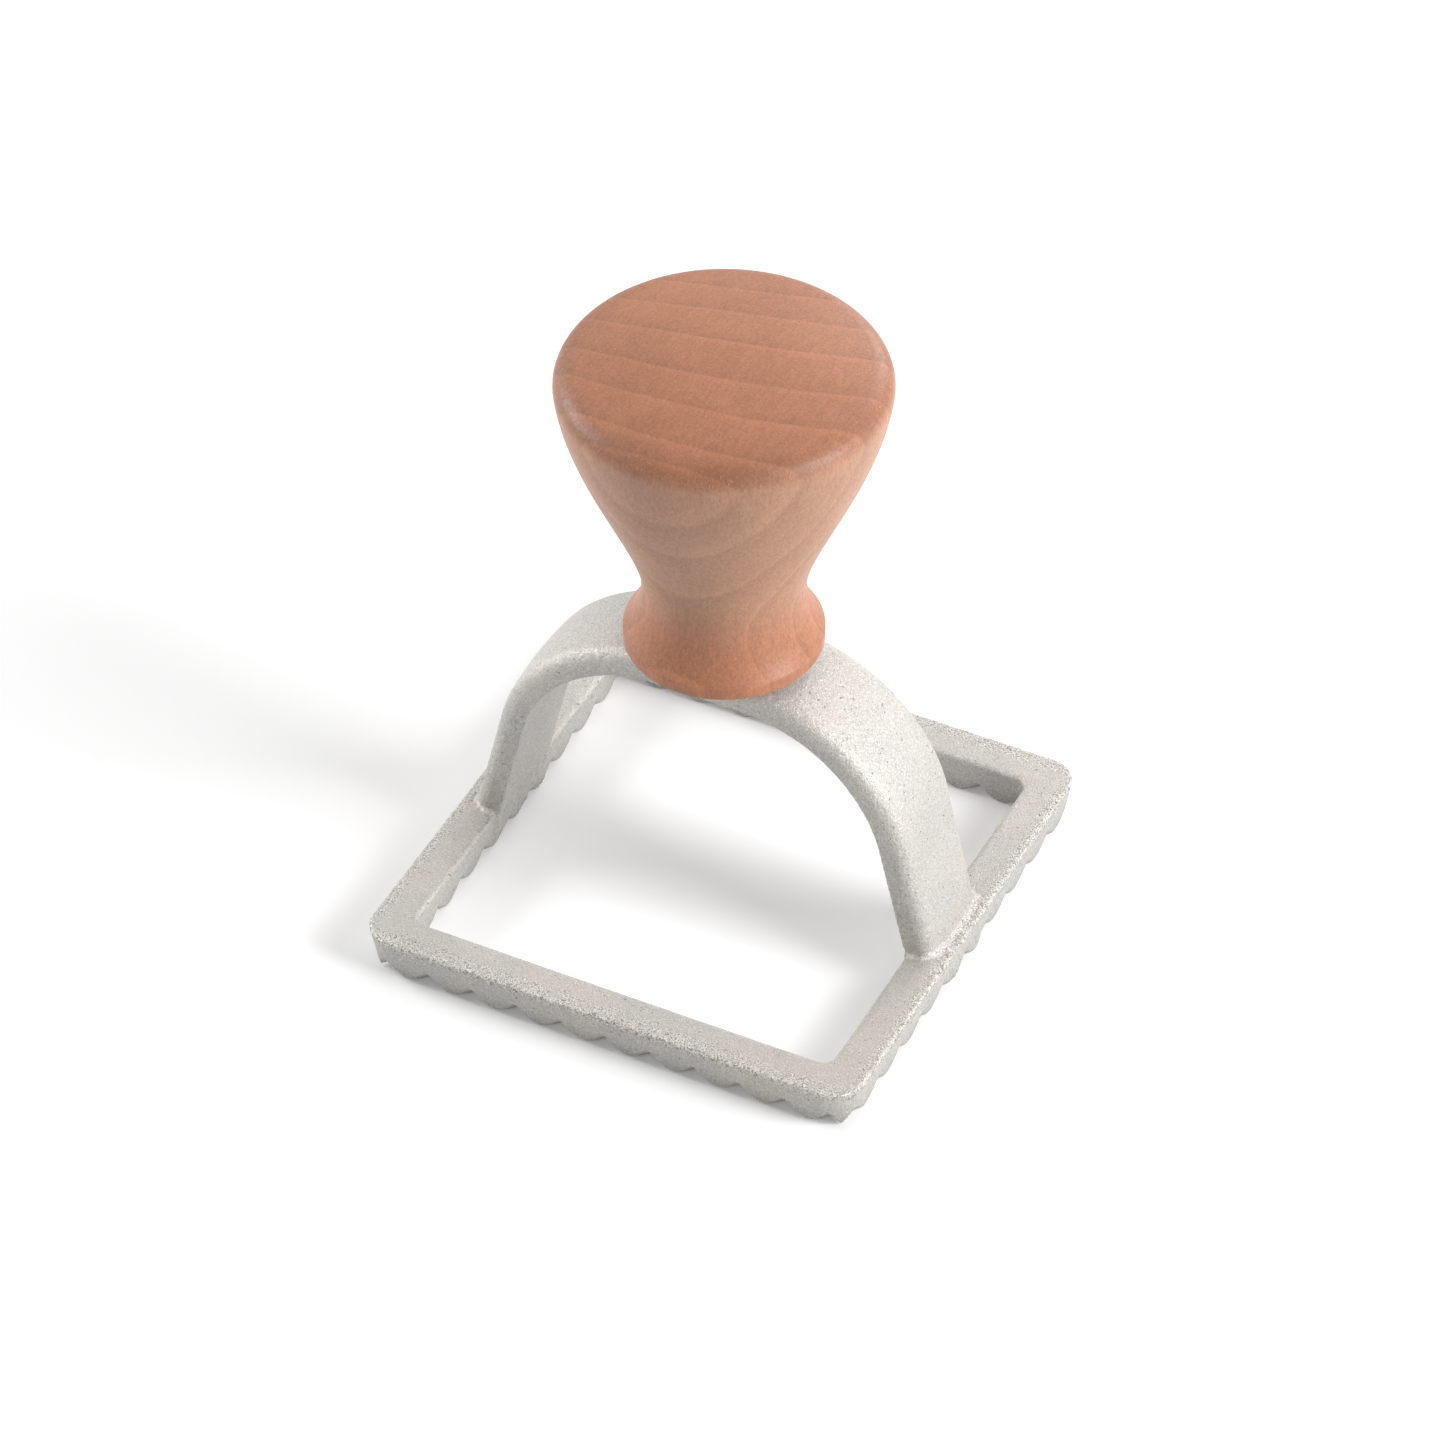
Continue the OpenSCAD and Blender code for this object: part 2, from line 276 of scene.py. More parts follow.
class StampCastingSizes(bpy.types.PropertyGroup):
    """Sizes of the frame, its cutting edge and the arch."""

    side: length("Side", "Outer side of the square at its top", SIDE)
    frame_height: length("Frame height", "From the cutting edge to the flat top", 6.8 * MM)
    bar_width: length("Bar width", "Width of a bar at its top", 6 * MM)
    draft: share("Draft", "Widening of the walls going up", 0.14)
    corner_radius: length("Corner radius", "Outer corners at the top", 4.5 * MM)
    opening_radius: length("Opening radius", "Corners of the opening", 1.6 * MM)
    top_edge: length("Top edge", "Rounding of the outer top edge", 0.5 * MM)
    opening_edge: length("Opening edge", "Rounding along the opening's chamfer", 0.12 * MM)
    opening_chamfer: length("Opening chamfer", "Chamfer round the opening's top edge", 0.5 * MM)
    lobes: count("Lobes", "Outer lobes on a side, corners left out", 10, 4)
    pitch_share: share("Pitch", "Pitch of the lobes as a share of the side", 0.0904)
    corner_lobe: length("Corner lobe", "Middle of the corner's lobe, in from the side", 0.6 * MM)
    wave: length("Wave", "How far the edge waves to each side", 1.2 * MM)
    outer_line: length("Outer line", "Middle line of the outer flank, in from the side", 2.7 * MM)
    land: length("Land", "Between the outer and the inner middle lines", 0.9 * MM)
    flank: share("Flank", "Run of the flanks for their rise", 1.1, top=2)
    lobe_power: share("Lobe power", "Roundness of the lobes", 1.1, top=3)
    arch_rise: length("Arch rise", "Inner face of the crown above the frame", SCREW_Z - 6.9 * MM)
    arch_width: length("Arch width", "Width of the band at the crown", 16 * MM)
    foot_width: length("Foot width", "Width of the band at the frame", 15 * MM)
    arch_thickness: length("Arch thickness", "Thickness of the band at the crown", 4.2 * MM)
    foot_thickness: length("Foot thickness", "Thickness of the band at the frame", 4.5 * MM)
    band_radius: length("Band radius", "Round shoulders along the band's outer face", 2.0 * MM)
    band_crown: length("Band crown", "Crown of the band above those shoulders", 0.45 * MM)
    band_edge: length("Band edge", "Rounding of the band's inner edges", 0.3 * MM)
    leg_lean: angle("Leg lean", "Lean of the legs from upright", math.radians(12.9))
    shoulder_radius: length("Shoulder radius", "Inner radius of the shoulders", 21.5 * MM)
    leg_proud: length("Leg proud", "How far the legs stand proud of the bars", 0.4 * MM)
    root_fillet: length("Root fillet", "Fillet between the legs and the frame", 1.3 * MM)
    seat_fillet: length("Seat fillet", "Fillet round the knob's seat", 1.0 * MM)
    lobe_edge: length("Lobe edge", "Rounding of the lobes against the walls", 0.4 * MM)
    land_edge: length("Land edge", "Rounding of the cutting edge itself", 0.3 * MM)
    seat_radius: length("Seat radius", "Round seat of the knob", 7.5 * MM)
    seat_edge: length("Seat edge", "Rounding of the seat's top edge", 0.5 * MM)
    hole_radius: length("Hole radius", "Clearance hole for the screw", 2.1 * MM)
    countersink: length("Countersink", "Radius of the countersink", 4.1 * MM)
    countersink_slope: share("Countersink slope", "Narrowing of the countersink for its depth", 0.91)
    lump_height: length("Lump height", "Height of the skin's broad lumps", 0.12 * MM)
    grain_height: length("Grain height", "Height of the skin's grains", 0.08 * MM)
    bead_height: length("Bead height", "Height of the beads round the legs' feet", 0.8 * MM)
    pitting_height: length("Pitting height", "Unevenness of the outer top edge", 0.22 * MM)
    voxel: length("Voxel", "Grid that the solid is meshed on", 0.27 * MM)


class StampKnobSizes(bpy.types.PropertyGroup):
    """Sizes of the turned knob."""

    radius: length("Radius", "Knob at its widest", KNOB_RADIUS)
    height: length("Height", "From the seat to the top", KNOB_HEIGHT)
    neck_radius: length("Neck radius", "Narrowest place", 11 * MM)
    neck_height: length("Neck height", "From the seat to the narrowest place", 9.3 * MM)
    base_radius: length("Base radius", "Band at the foot", 13.5 * MM)
    base_edge: length("Base edge", "Rounding of the foot's edge", 0.3 * MM)
    band: length("Band", "Height of the upright band at the foot", 1.8 * MM)
    cove_in: length("Cove in", "How far in the cove's curve leaves the band", 0.9 * MM)
    cove_low: length("Cove low", "How far up the cove's curve leaves the band", 1.4 * MM)
    cove_high: length("Cove high", "How far above the band the cove turns upright", 3.4 * MM)
    flare_low: length("Flare low", "How firmly the side leaves the neck", 7.3 * MM)
    flare_high: length("Flare high", "How firmly the side meets the rim", 12.2 * MM)
    rim_slope: share("Rim slope", "Slope of the side where it meets the rim", 0.12)
    rim_in: length("Rim depth", "Depth of the rounded rim, inwards", 4 * MM)
    rim_up: length("Rim height", "Height of the rounded rim", 3.2 * MM)
    dome_slope: share("Dome slope", "Slope of the top where it meets the rim", 0.24)
    bore_radius: length("Bore radius", "Bore for the screw", 2 * MM)
    around: count("Around", "Faces around the knob", 360, 48)


class StampScrewSizes(bpy.types.PropertyGroup):
    """Sizes of the countersunk wood screw."""

    length: length("Length", "From the head to the tip", SCREW_LENGTH)
    radius: length("Radius", "Outside of the thread and the plain shank", SCREW_RADIUS)
    pitch: length("Pitch", "Rise of the thread in a turn", 1.8 * MM)
    depth: length("Depth", "Depth of the thread", 0.55 * MM)
    plain: length("Plain shank", "From the head to the first turn", 6.5 * MM)
    tip: length("Tip", "Height of the pointed tip", 4 * MM)
    head_radius: length("Head radius", "Edge of the head", HEAD_RADIUS)
    head_height: length("Head height", "Height of the head's cone", 2.2 * MM)
    recess_length: length("Recess length", "Arm of the cross, from end to end", 3.8 * MM)
    recess_width: length("Recess width", "Width of an arm", 0.9 * MM)
    recess_depth: length("Recess depth", "Depth of the cross", 1.3 * MM)


class StampFinishes(bpy.types.PropertyGroup):
    """Colours of the finishes."""

    metal: colour("Cast metal", "Grey of the casting", (0.505, 0.492, 0.468))
    wood_side: colour("Long grain", "Wood along the knob's side", (0.44, 0.234, 0.148))
    wood_end: colour("End grain", "Wood of the top and the foot, darker with finish", (0.415, 0.175, 0.094))
    steel: colour("Steel", "Screw", (0.55, 0.54, 0.52))
    floor: colour("Floor", "Table top", (0.8, 0.8, 0.8))


class Num:
    """A number in a node tree. Sums, products and comparisons of it add Math nodes to that tree."""

    def __init__(self, tree, socket):
        self.tree = tree
        self.socket = socket

    def math(self, operation, *others):
        node = self.tree.nodes.new("ShaderNodeMath")
        node.operation = operation
        for place, value in zip(node.inputs, (self, *others)):
            feed(place, value)
        return Num(self.tree, node.outputs[0])

    def flipped(self, operation, other):
        """The same operation with the other number first."""
        node = self.tree.nodes.new("ShaderNodeMath")
        node.operation = operation
        feed(node.inputs[0], other)
        feed(node.inputs[1], self)
        return Num(self.tree, node.outputs[0])

    def __add__(self, other):
        return self.math("ADD", other)

    __radd__ = __add__

    def __sub__(self, other):
        return self.math("SUBTRACT", other)

    def __rsub__(self, other):
        return self.flipped("SUBTRACT", other)

    def __mul__(self, other):
        return self.math("MULTIPLY", other)

    __rmul__ = __mul__

    def __truediv__(self, other):
        return self.math("DIVIDE", other)

    def __rtruediv__(self, other):
        return self.flipped("DIVIDE", other)

    def __neg__(self):
        return self * -1

    def __abs__(self):
        return self.math("ABSOLUTE")

    def __pow__(self, power):
        return self.math("POWER", power)

    def most(self, other):
        return self.math("MAXIMUM", other)

    def least(self, other):
        return self.math("MINIMUM", other)

    def within(self, low, high):
        return self.most(low).least(high)

    def soft_most(self, other, radius):
        """The larger of two distances, with the edge between them rounded."""
        return self.math("SMOOTH_MAX", other, radius)

    def soft_least(self, other, radius):
        """The smaller of two distances, with a fillet between them."""
        return self.math("SMOOTH_MIN", other, radius)

    def between(self, low, high):
        """0 at low, 1 at high, smooth in between."""
        node = self.tree.nodes.new("ShaderNodeMapRange")
        node.interpolation_type = "SMOOTHSTEP"
        feed(node.inputs["Value"], self)
        feed(node.inputs["From Min"], low)
        feed(node.inputs["From Max"], high)
        return Num(self.tree, node.outputs["Result"])


def feed(socket, value):
    """Gives a socket a number, or links it to one."""
    if isinstance(value, Num):
        value.tree.links.new(value.socket, socket)
    else:
        socket.default_value = value


def root_of_squares(a, b):
    """Length of the vector (a, b)."""
    return (a * a + b * b).math("SQRT")


def weighed(patterns, parts, start=0.0):
    """The sum of some patterns, each times its part, on top of a starting value."""
    return sum((patterns[name] * part for name, part in parts.items()), start)


def split(tree, vector):
    """The three numbers of a vector socket."""
    node = tree.nodes.new("ShaderNodeSeparateXYZ")
    tree.links.new(vector, node.inputs[0])
    return [Num(tree, output) for output in node.outputs]


def joined(tree, x, y, z):
    """A vector socket made of three numbers."""
    node = tree.nodes.new("ShaderNodeCombineXYZ")
    for socket, value in zip(node.inputs, (x, y, z)):
        feed(socket, value)
    return node.outputs[0]


def size_names(sizes):
    """Names of a property group's own sizes."""
    return [name for name in sizes.bl_rna.properties.keys() if name not in ("rna_type", "name")]


def group_inputs(tree, sizes):
    """Adds an input to the tree for each size of a property group, and returns them by name as numbers."""
    names = size_names(sizes)
    for name in names:
        label = sizes.bl_rna.properties[name].name
        tree.interface.new_socket(label, in_out="INPUT", socket_type="NodeSocketFloat")
    entry = tree.nodes.new("NodeGroupInput")
    return {name: Num(tree, entry.outputs[index]) for index, name in enumerate(names)}


def set_inputs(modifier, sizes):
    """Sets the modifier's inputs by their sockets' identifiers."""
    sockets = [item for item in modifier.node_group.interface.items_tree if item.in_out == "INPUT"]
    for name, socket in zip(size_names(sizes), sockets):
        modifier[socket.identifier] = float(getattr(sizes, name))


def linked(name, data):
    """A new object that is linked to the scene."""
    holder = bpy.data.objects.new(name, data)
    bpy.context.scene.collection.objects.link(holder)
    return holder


def new_piece(name, mesh):
    """Links a finished mesh to the scene as a piece that rides on the part."""
    piece = linked(name, mesh)
    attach(piece, BODY)
    return piece


def applied(carrier, modifier, name):
    """The mesh that a carrier's only modifier makes. The modifier and the carrier are removed."""
    graph = bpy.context.evaluated_depsgraph_get()
    mesh = bpy.data.meshes.new_from_object(carrier.evaluated_get(graph))
    mesh.name = name
    carrier.modifiers.remove(modifier)
    bpy.data.objects.remove(carrier)
    return mesh


def grown_mesh(name, tree, sizes):
    """The mesh that a Geometry Nodes tree makes from nothing but its inputs."""
    seed = linked(name + "_seed", bpy.data.meshes.new(name + "_seed"))
    modifier = seed.modifiers.new("Grow", "NODES")
    modifier.node_group = tree
    set_inputs(modifier, sizes)
    return applied(seed, modifier, name)


def thinned(mesh, faces):
    """The mesh with no more than that many triangles, its detail kept where it curves."""
    triangles = sum(len(polygon.vertices) - 2 for polygon in mesh.polygons)
    if triangles <= faces:
        return mesh
    carrier = linked("thinning", mesh)
    modifier = carrier.modifiers.new("Thin", "DECIMATE")
    modifier.ratio = faces / triangles
    thin = applied(carrier, modifier, mesh.name)
    bpy.data.meshes.remove(mesh)
    return thin


def noise(tree, position, scale, detail=2.0, roughness=0.5, offset=(0, 0, 0), stretch=(1, 1, 1)):
    """Soft noise at a place, about 0 on average. The scale is given for a metre."""
    mapping = tree.nodes.new("ShaderNodeMapping" if tree.type == "SHADER" else "ShaderNodeVectorMath")
    if tree.type == "SHADER":
        mapping.inputs["Location"].default_value = offset
        mapping.inputs["Scale"].default_value = stretch
    else:
        mapping.operation = "MULTIPLY_ADD"
        mapping.inputs[1].default_value = stretch
        mapping.inputs[2].default_value = offset
    tree.links.new(position, mapping.inputs[0])
    node = tree.nodes.new("ShaderNodeTexNoise")
    node.inputs["Scale"].default_value = scale
    node.inputs["Detail"].default_value = detail
    node.inputs["Roughness"].default_value = roughness
    tree.links.new(mapping.outputs[0], node.inputs["Vector"])
    return Num(tree, node.outputs[0]) - 0.5


def noises(tree, place, kinds):
    """Every kind of noise in a table, by name."""
    return {name: noise(tree, place, waves / MM, *rest) for name, (waves, *rest) in kinds.items()}


def drafted_square(x, y, z, half_top, radius, draft, top):
    """Distance to a square wall that widens going up to half_top at the height top."""
    half = half_top - draft * (top - z)
    across = x - half + radius
    along = y - half + radius
    corner = root_of_squares(across.most(0), along.most(0))
    return corner + across.most(along).least(0) - radius


def edge_wave(s, sizes, inner):
    """Place of a flank's foot along a side, as a distance from the middle of the square."""
    pitch = sizes["side"] * sizes["pitch_share"]
    if inner:
        swing = abs((s * math.pi / pitch).math("COSINE")) ** sizes["lobe_power"]
        return sizes["side"] / 2 - sizes["outer_line"] - sizes["land"] - sizes["wave"] * (2 * swing - 1)
    last_lobe = (sizes["lobes"] - 1) / 2 * pitch
    corner_lobe = sizes["side"] / 2 - sizes["corner_lobe"]
    past = (s - last_lobe).most(0) * math.pi / (corner_lobe - last_lobe)
    swing = abs((s.least(last_lobe) * math.pi / pitch + past).math("SINE")) ** sizes["lobe_power"]
    return sizes["side"] / 2 - sizes["outer_line"] + sizes["wave"] * (2 * swing - 1)


def flanks(x, y, z, sizes):
    """Distances to the outer flanks and to the hollow between the inner flanks."""
    lean = 1 / (1 + sizes["flank"] * sizes["flank"]).math("SQRT")
    rise = sizes["flank"] * z
    outer = (x - rise - edge_wave(y, sizes, False)).most(y - rise - edge_wave(x, sizes, False))
    inner = (x + rise - edge_wave(y, sizes, True)).most(y + rise - edge_wave(x, sizes, True))
    return outer * lean, -(inner * lean)


def band_outside(above, y, half_width, sizes):
    """Distance to the arch's section but for its inner face: upright sides, round shoulders, low crown."""
    radius = sizes["band_radius"]
    spread = y / half_width
    outward = above + sizes["band_crown"] * spread * spread + radius
    aside = y - half_width + radius
    shoulder = root_of_squares(outward.most(0), aside.most(0))
    return shoulder + outward.most(aside).least(0) - radius


def arch_distance(x, y, z, sizes):
    """Distance to the arch: a band that follows a leg, a round shoulder and the crown."""
    foot_x = sizes["side"] / 2 - sizes["bar_width"] - sizes["leg_proud"]
    lean_cos = sizes["leg_lean"].math("COSINE")
    lean_sin = sizes["leg_lean"].math("SINE")
    inside_z = sizes["frame_height"] + sizes["arch_rise"]
    radius = sizes["shoulder_radius"]
    shoulder_z = inside_z - radius
    leg_height = shoulder_z + radius * lean_sin - sizes["frame_height"]
    shoulder_x = foot_x - leg_height * lean_sin / lean_cos - radius * lean_cos
    across = (x - shoulder_x).most(0)
    up = z - shoulder_z
    outward = across * lean_cos + up * lean_sin
    down = (across * lean_sin - up * lean_cos).least(0)
    above = root_of_squares(outward, down) - radius
    taper = z.between(sizes["frame_height"], inside_z)
    half_width = (sizes["foot_width"] + (sizes["arch_width"] - sizes["foot_width"]) * taper) / 2
    thickness = sizes["foot_thickness"] + (sizes["arch_thickness"] - sizes["foot_thickness"]) * taper
    outer_face = band_outside(above - thickness, y, half_width, sizes)
    return outer_face.soft_most(-above, sizes["band_edge"])


def seat_distance(x, y, z, sizes):
    """Distance to the round seat on the crown."""
    inside_z = sizes["frame_height"] + sizes["arch_rise"]
    wall = root_of_squares(x, y) - sizes["seat_radius"]
    body = wall.soft_most(z - SEAT_Z, sizes["seat_edge"])
    return body.most(inside_z + SEAT_SINK - z)


def hole_distance(x, y, z, sizes):
    """Distance to the countersunk hole, less than nothing inside it."""
    inside_z = sizes["frame_height"] + sizes["arch_rise"]
    cone = sizes["countersink"] - (z - inside_z) * sizes["countersink_slope"]
    radius = cone.most(sizes["hole_radius"]).least(sizes["countersink"])
    return root_of_squares(x, y) - radius


def frame_ring(x, y, z, sizes):
    """Distances to the frame without its wavy edge, to its outer wall and to its flat top."""
    half = sizes["side"] / 2
    height = sizes["frame_height"]
    wall = drafted_square(x, y, z, half, sizes["corner_radius"], sizes["draft"], height)
    inside = half - sizes["bar_width"]
    opening = drafted_square(x, y, z, inside, sizes["opening_radius"], -sizes["draft"], height)
    top = z - height
    chamfer = (top - opening + sizes["opening_chamfer"]) * math.sqrt(0.5)
    ring = wall.soft_most(top, sizes["top_edge"]).soft_most(-opening, sizes["opening_edge"])
    return ring.soft_most(chamfer, sizes["opening_edge"]), wall, top


def meshed(tree, solid, sizes):
    """A grid filled with the distance to a solid, and meshed at the depth of its skin."""
    grid = tree.nodes.new("GeometryNodeVolumeCube")
    feed(grid.inputs["Density"], (solid + SKIN_DEPTH) * -1 / MM)
    grid.inputs["Background"].default_value = -1
    spare = GRID_SPARE * sizes.voxel
    reach = sizes.side / 2 + spare
    low = Vector((-reach, -reach, -spare))
    high = Vector((reach, reach, SEAT_Z + spare))
    grid.inputs["Min"].default_value = low
    grid.inputs["Max"].default_value = high
    for axis, span in zip("XYZ", high - low):
        grid.inputs["Resolution " + axis].default_value = int(span / sizes.voxel)
    skin = tree.nodes.new("GeometryNodeVolumeToMesh")
    skin.inputs["Threshold"].default_value = 0
    tree.links.new(grid.outputs[0], skin.inputs[0])
    return skin.outputs[0]


def casting_tree(sizes, material):
    """Geometry Nodes that mesh the casting from its distances and roughen it as a sand mould does."""
    tree = bpy.data.node_groups.new("Stamp casting", "GeometryNodeTree")
    tree.interface.new_socket("Geometry", in_out="OUTPUT", socket_type="NodeSocketGeometry")
    given = group_inputs(tree, sizes)
    place = tree.nodes.new("GeometryNodeInputPosition").outputs[0]
    x, y, z = split(tree, place)
    x = abs(x)
    y = abs(y)
    ring, wall, top = frame_ring(x, y, z, given)
    band = arch_distance(x, y, z, given)
    arch = band.soft_least(seat_distance(x, y, z, given), given["seat_fillet"])
    outer, inner = flanks(x, y, z, given)
    solid = ring.soft_least(arch, given["root_fillet"])
    solid = solid.soft_most(outer, given["lobe_edge"]).soft_most(inner, given["land_edge"])
    solid = solid.soft_most(REST_GAP - z, given["land_edge"])
    solid = solid.soft_most(-hole_distance(x, y, z, given), given["land_edge"])
    # Uneven skin, with beads where the legs leave the frame and a rougher outer top edge
    skin = noises(tree, place, SKIN_NOISE)
    roots = 1 - abs(ring).most(abs(band)).between(*BEAD_FADE)
    rim = 1 - abs(top).most(abs(wall)).between(*PITTING_FADE)
    height = skin["lumps"] * given["lump_height"] + skin["grains"] * given["grain_height"]
    height = height + roots * skin["beads"] * given["bead_height"]
    height = height + rim * skin["pitting"] * given["pitting_height"]
    normal = tree.nodes.new("GeometryNodeInputNormal")
    lift = tree.nodes.new("ShaderNodeVectorMath")
    lift.operation = "SCALE"
    tree.links.new(normal.outputs[0], lift.inputs[0])
    feed(lift.inputs["Scale"], height.least(SKIN_DEPTH))
    shift = tree.nodes.new("GeometryNodeSetPosition")
    tree.links.new(meshed(tree, solid, sizes), shift.inputs["Geometry"])
    tree.links.new(lift.outputs[0], shift.inputs["Offset"])
    finish_tree(tree, shift.outputs[0], material)
    return tree


def finish_tree(tree, geometry, material):
    """Ends a tree in smooth faces, Realize Instances and Set Material."""
    smooth = tree.nodes.new("GeometryNodeSetShadeSmooth")
    real = tree.nodes.new("GeometryNodeRealizeInstances")
    paint = tree.nodes.new("GeometryNodeSetMaterial")
    paint.inputs["Material"].default_value = material
    exit_node = tree.nodes.new("NodeGroupOutput")
    tree.links.new(geometry, smooth.inputs[0])
    for before, after in ((smooth, real), (real, paint), (paint, exit_node)):
        tree.links.new(before.outputs[0], after.inputs[0])


def steps(number, first=0):
    """Shares of a way in equal steps, from the first step to the whole way."""
    return [step / number for step in range(first, number + 1)]


def bend(points, t):
    """A point on a curve with four control points."""
    a, b, c, d = (Vector(point) for point in points)
    return (1 - t) ** 3 * a + 3 * t * (1 - t) ** 2 * b + 3 * t * t * (1 - t) * c + t ** 3 * d


def knob_foot(sizes):
    """Outline of the knob's flat foot, its edge and the upright band above it, from the bore outwards."""
    base = sizes.base_radius
    edge = sizes.base_edge
    flat = base - edge - sizes.bore_radius
    outline = [Vector((sizes.bore_radius + flat * t, 0)) for t in steps(FOOT_STEPS)]
    for turn in FOOT_EDGE_TURNS:
        outline.append(Vector((base - edge * (1 - math.sin(turn)), edge * (1 - math.cos(turn)))))
    return outline + [Vector((base, edge + (sizes.band - edge) * t)) for t in steps(BAND_STEPS)[:-1]]


def knob_outline(sizes):
    """Outline of the knob from its bore to near the middle of its top, as radius and height."""
    base = sizes.base_radius
    neck = sizes.neck_radius
    neck_z = sizes.neck_height
    low = -math.atan(sizes.rim_slope * sizes.rim_up / sizes.rim_in)
    high = math.atan(sizes.rim_up / (sizes.rim_in * sizes.dome_slope))
    dome_radius = sizes.radius - sizes.rim_in * (1 - math.cos(high))
    widest = sizes.height - sizes.rim_up * math.sin(high) - sizes.dome_slope * dome_radius / 2

    def rim(turn):
        inwards = sizes.rim_in * (1 - math.cos(turn))
        return Vector((sizes.radius - inwards, widest + sizes.rim_up * math.sin(turn)))

    side_end = rim(low)
    cove = [
        (base, sizes.band),
        (base - sizes.cove_in, sizes.band + sizes.cove_low),
        (neck, sizes.band + sizes.cove_high),
        (neck, neck_z),
    ]
    flare = [
        (neck, neck_z),
        (neck, neck_z + sizes.flare_low),
        side_end - sizes.flare_high * Vector((sizes.rim_slope, 1)),
        side_end,
    ]
    outline = knob_foot(sizes)
    outline += [bend(cove, t) for t in steps(COVE_STEPS)]
    outline += [bend(flare, t) for t in steps(FLARE_STEPS, 1)]
    outline += [rim(low + (high - low) * t) for t in steps(RIM_STEPS, 1)]
    dome_edge = rim(high)
    dome_rise = sizes.dome_slope * dome_edge.x / 2
    for t in reversed(steps(DOME_STEPS, 1)[:-1]):
        outline.append(Vector((dome_edge.x * t, dome_edge.y + dome_rise * (1 - t * t))))
    return outline


def knob_mesh(sizes):
    """The knob turned from its outline, with its blind bore."""
    form = bmesh.new()
    bore_top = SCREW_Z + SCREW_LENGTH + BORE_SPARE - SEAT_Z
    bore = [Vector((sizes.bore_radius, bore_top * (1 - t))) for t in steps(BORE_STEPS)[:-1]]
    rings = []
    for point in bore + knob_outline(sizes):
        ring = []
        for step in range(sizes.around):
            turn = 2 * math.pi * step / sizes.around
            spot = (point.x * math.cos(turn), point.x * math.sin(turn), SEAT_Z + point.y)
            ring.append(form.verts.new(spot))
        rings.append(ring)
    bore_end = form.verts.new((0, 0, SEAT_Z + bore_top))
    summit = form.verts.new((0, 0, SEAT_Z + sizes.height))
    turns = [(step, (step + 1) % sizes.around) for step in range(sizes.around)]
    for lower, upper in zip(rings, rings[1:]):
        for step, after in turns:
            form.faces.new((lower[step], lower[after], upper[after], upper[step]))
    for step, after in turns:
        form.faces.new((bore_end, rings[0][after], rings[0][step]))
        form.faces.new((rings[-1][step], rings[-1][after], summit))
    bmesh.ops.recalc_face_normals(form, faces=form.faces)
    for face in form.faces:
        face.smooth = True
    mesh = bpy.data.meshes.new("turned_knob")
    form.to_mesh(mesh)
    form.free()
    return mesh


def screw_radius(turn, height, rim, sizes):
    """Radius of the screw at a height and a turn round it: head, plain shank, thread and tip."""
    narrowing = (sizes["head_radius"] - sizes["radius"]) / sizes["head_height"]
    cone = sizes["head_radius"] - height * narrowing
    point = (sizes["length"] - height) / sizes["tip"] * sizes["radius"]
    phase = (height / sizes["pitch"] - turn / (2 * math.pi)).math("FRACT")
    ridge = (1 - abs(phase * 2 - 1) * RIDGE_SHARPNESS).most(0)
    threaded = height.between(sizes["plain"], sizes["plain"] + sizes["pitch"])
    shank = sizes["radius"] - sizes["depth"] * threaded * (1 - ridge)
    return cone.most(shank).least(point).least(sizes["head_radius"] * rim)


def screw_tree(sizes, material):
    """Geometry Nodes that roll a sheet into a screw, wind its thread and sink a cross in its head."""
    tree = bpy.data.node_groups.new("Stamp screw", "GeometryNodeTree")
    tree.interface.new_socket("Geometry", in_out="OUTPUT", socket_type="NodeSocketGeometry")
    given = group_inputs(tree, sizes)
    sheet = tree.nodes.new("GeometryNodeMeshGrid")
    sheet.inputs["Size X"].default_value = 1
    sheet.inputs["Size Y"].default_value = 1
    sheet.inputs["Vertices X"].default_value = SCREW_AROUND + 1
    sheet.inputs["Vertices Y"].default_value = SCREW_ALONG + 1
    place = tree.nodes.new("GeometryNodeInputPosition")
    across, along, _ = split(tree, place.outputs[0])
    turn = (across + 0.5) * 2 * math.pi
    # The sheet's first rows are the flat of the head, and the others climb to the tip
    rim = ((along + 0.5) / HEAD_FLAT).least(1)
    height = (along + 0.5 - HEAD_FLAT).most(0) / (1 - HEAD_FLAT) * given["length"]
    radius = screw_radius(turn, height, rim, given)
    rolled = joined(tree, radius * turn.math("COSINE"), radius * turn.math("SINE"), height + SCREW_Z)
    roll = tree.nodes.new("GeometryNodeSetPosition")
    tree.links.new(sheet.outputs["Mesh"], roll.inputs["Geometry"])
    tree.links.new(rolled, roll.inputs["Position"])
    close = tree.nodes.new("GeometryNodeMergeByDistance")
    tree.links.new(roll.outputs[0], close.inputs["Geometry"])
    close.inputs["Distance"].default_value = WELD_REACH
    sink = tree.nodes.new("GeometryNodeMeshBoolean")
    sink.operation = "DIFFERENCE"
    # The default solver leaves open edges round the cross
    sink.solver = "EXACT"
    tree.links.new(close.outputs[0], sink.inputs["Mesh 1"])
    for wide, deep in (("recess_length", "recess_width"), ("recess_width", "recess_length")):
        arm = tree.nodes.new("GeometryNodeMeshCube")
        size = joined(tree, given[wide], given[deep], given["recess_depth"] * 2)
        tree.links.new(size, arm.inputs["Size"])
        move = tree.nodes.new("GeometryNodeTransform")
        move.inputs["Translation"].default_value = (0, 0, SCREW_Z)
        tree.links.new(arm.outputs["Mesh"], move.inputs["Geometry"])
        tree.links.new(move.outputs[0], sink.inputs["Mesh 2"])
    finish_tree(tree, sink.outputs["Mesh"], material)
    return tree


